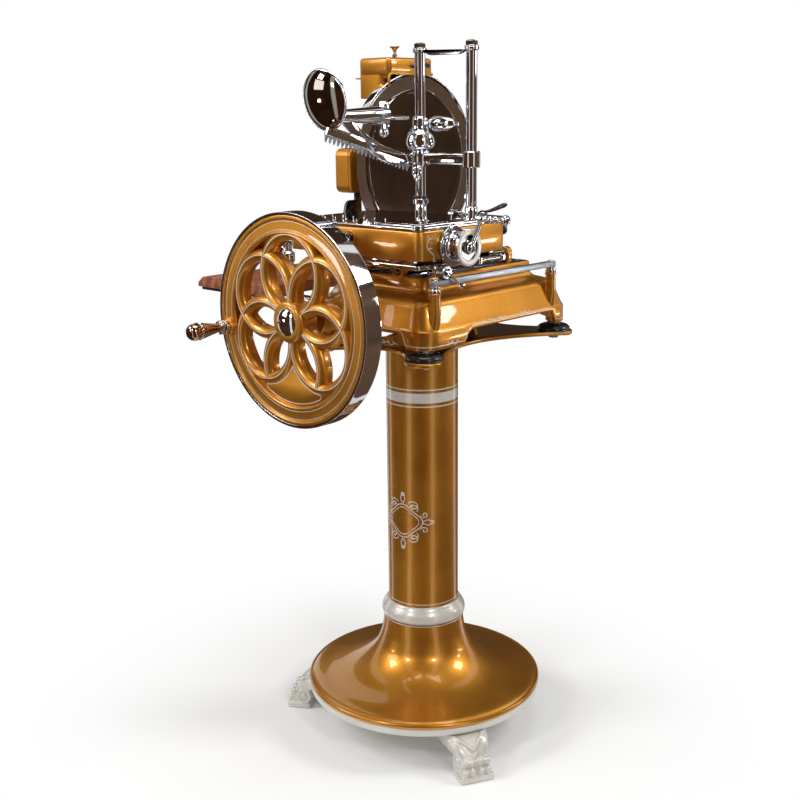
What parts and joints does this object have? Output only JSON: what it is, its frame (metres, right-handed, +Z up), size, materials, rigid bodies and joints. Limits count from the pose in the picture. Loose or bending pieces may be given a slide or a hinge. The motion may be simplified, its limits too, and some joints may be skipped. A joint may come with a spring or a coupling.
{
  "type": "meat slicer",
  "caption": "Flywheel meat slicer with hand crank, round knife, screw-fed sliding table, spiked press and receiving board, on a cast claw-foot pedestal.",
  "frame": {"origin": "the point on the floor under the middle of the whole machine's bounding box", "axes": "+Z up, +X to the right of the operator who turns the flywheel, +Y away from that operator"},
  "size_m": [0.6716, 0.7634, 1.3425],
  "materials": {
    "gold_paint": "metallic gold lacquer over cast iron",
    "pearl_paint": "pearl white lacquer",
    "chrome": "mirror polished",
    "bronzed_chrome": "polished, brown tinted",
    "steel": "ground steel",
    "bronze": "turned bearing bronze",
    "cast_iron": "machined iron, oiled",
    "black_rubber": "moulded",
    "black_gloss": "polished black",
    "redwood": "reddish wood, oiled",
    "stone": null
  },
  "bodies": {
    "frame": {"claw_foot_1": "pearl_paint", "claw_foot_2": "pearl_paint", "claw_foot_3": "pearl_paint", "foot_plate": "pearl_paint", "pedestal_bell": "gold_paint", "column_tube": "gold_paint", "tie_rod": "steel", "stand_top_plate": "black_gloss", "levelling_foot_1": "black_rubber", "levelling_foot_2": "black_rubber", "levelling_foot_3": "black_rubber", "levelling_foot_4": "black_rubber", "base_casting": "gold_paint", "outer_rail": "chrome", "guide_rod_left": "chrome", "guide_rod_right": "chrome", "front_bearing": "bronze", "rear_bearing": "bronze", "cross_bearing": "bronze", "blade_bearing": "bronze", "chain_case": "gold_paint", "chain_cover": "gold_paint", "blade_guard": "chrome", "sharpener_cover": "gold_paint", "receiving_board": "redwood", "board_carrier": "steel", "slice_post": "chrome", "slice_deflector": "black_gloss", "drive_chain": "steel"},
    "flywheel": {"flywheel": "gold_paint", "flywheel_band": "chrome", "main_shaft": "chrome", "crown_gear": "cast_iron"},
    "flywheel_grip": {"flywheel_grip": "bronzed_chrome"},
    "cross_shaft": {"cross_shaft": "steel", "bevel_pinion": "cast_iron", "drive_sprocket": "cast_iron"},
    "blade": {"blade": "chrome", "blade_cover": "chrome", "blade_shaft": "steel"},
    "carriage": {"carriage_plate": "chrome", "carriage_bracket": "chrome"},
    "rail_roller": {"rail_roller": "steel"},
    "release_lever": {"release_lever": "chrome"},
    "table": {"table_casting": "gold_paint", "table_plate": "chrome", "press_post_left": "chrome", "press_post_right": "chrome", "post_bridge": "chrome"},
    "feed_crank": {"feed_screw": "steel", "feed_crank": "chrome"},
    "feed_grip": {"feed_grip": "chrome"},
    "press": {"press_yoke": "chrome", "guard_arm": "chrome"},
    "press_comb": {"press_comb": "chrome"},
    "hand_guard": {"hand_guard": "chrome"},
    "clamp_lever": {"clamp_lever": "chrome"},
    "fence_lever": {"fence_lever": "black_gloss"},
    "sharpener_plunger": {"sharpening_stone": "stone", "sharpener_knob": "bronzed_chrome"}
  },
  "joints": [
    {"name": "flywheel_spin", "type": "hinge", "parent": "frame", "child": "flywheel", "pos_m": [0.0572, -0.27235, 0.872], "axis": [0, 1, 0], "continuous": true},
    {"name": "flywheel_grip_spin", "type": "hinge", "parent": "flywheel", "child": "flywheel_grip", "pos_m": [-0.10379, -0.3425, 0.8465], "axis": [0, 1, 0], "continuous": true},
    {"name": "cross_shaft_spin", "type": "hinge", "parent": "frame", "child": "cross_shaft", "pos_m": [-0.06, 0.20365, 0.872], "axis": [1, 0, 0], "continuous": true},
    {"name": "blade_spin", "type": "hinge", "parent": "frame", "child": "blade", "pos_m": [-0.1, 0.20365, 1.114], "axis": [1, 0, 0], "continuous": true},
    {"name": "carriage_slide", "type": "slide", "parent": "frame", "child": "carriage", "axis": [0, 1, 0], "range_m": [0, 0.22]},
    {"name": "rail_roller_spin", "type": "hinge", "parent": "carriage", "child": "rail_roller", "pos_m": [0.2422, -0.10035, 0.9523], "axis": [1, 0, 0], "range_deg": [-1051, 0]},
    {"name": "release_lever_swing", "type": "hinge", "parent": "carriage", "child": "release_lever", "pos_m": [0.235, 0.00025, 0.96175], "axis": [0, 0, 1], "range_deg": [-35, 0]},
    {"name": "table_slide", "type": "slide", "parent": "carriage", "child": "table", "axis": [1, 0, 0], "range_m": [0, 0.15]},
    {"name": "feed_crank_turn", "type": "hinge", "parent": "table", "child": "feed_crank", "pos_m": [0.26, -0.07235, 0.994], "axis": [1, 0, 0], "range_deg": [0, 3376]},
    {"name": "feed_grip_spin", "type": "hinge", "parent": "feed_crank", "child": "feed_grip", "pos_m": [0.31, -0.04635, 1.04], "axis": [1, 0, 0], "continuous": true},
    {"name": "press_slide", "type": "slide", "parent": "table", "child": "press", "axis": [0, 0, 1], "range_m": [-0.028, 0.095]},
    {"name": "press_comb_tilt", "type": "hinge", "parent": "press", "child": "press_comb", "pos_m": [0.038, 0.03365, 1.121], "axis": [1, 0, 0], "range_deg": [0, 16]},
    {"name": "hand_guard_swing", "type": "hinge", "parent": "press", "child": "hand_guard", "pos_m": [0.0432, -0.15335, 1.219], "axis": [0, 0, 1], "range_deg": [-20, 20]},
    {"name": "fence_lever_turn", "type": "hinge", "parent": "table", "child": "fence_lever", "pos_m": [0.1862, 0.07165, 1.0341], "axis": [0, 0, 1], "range_deg": [-25, 25]},
    {"name": "clamp_lever_turn", "type": "hinge", "parent": "press", "child": "clamp_lever", "pos_m": [0.1, 0.04965, 1.1954], "axis": [1, 0, 0], "range_deg": [-60, 60]},
    {"name": "sharpener_press", "type": "slide", "parent": "frame", "child": "sharpener_plunger", "axis": [0, 0, 1], "range_m": [-0.003, 0], "stiffness_N_per_m": 400, "springref_m": 0.002}
  ],
  "couplings": [
    {"joint": "cross_shaft_spin", "follows": "flywheel_spin", "ratio": -2},
    {"joint": "blade_spin", "follows": "flywheel_spin", "ratio": -3},
    {"joint": "rail_roller_spin", "follows": "carriage_slide", "rad_per_m": -83.333},
    {"joint": "feed_crank_turn", "follows": "table_slide", "rad_per_m": 392.7}
  ]
}
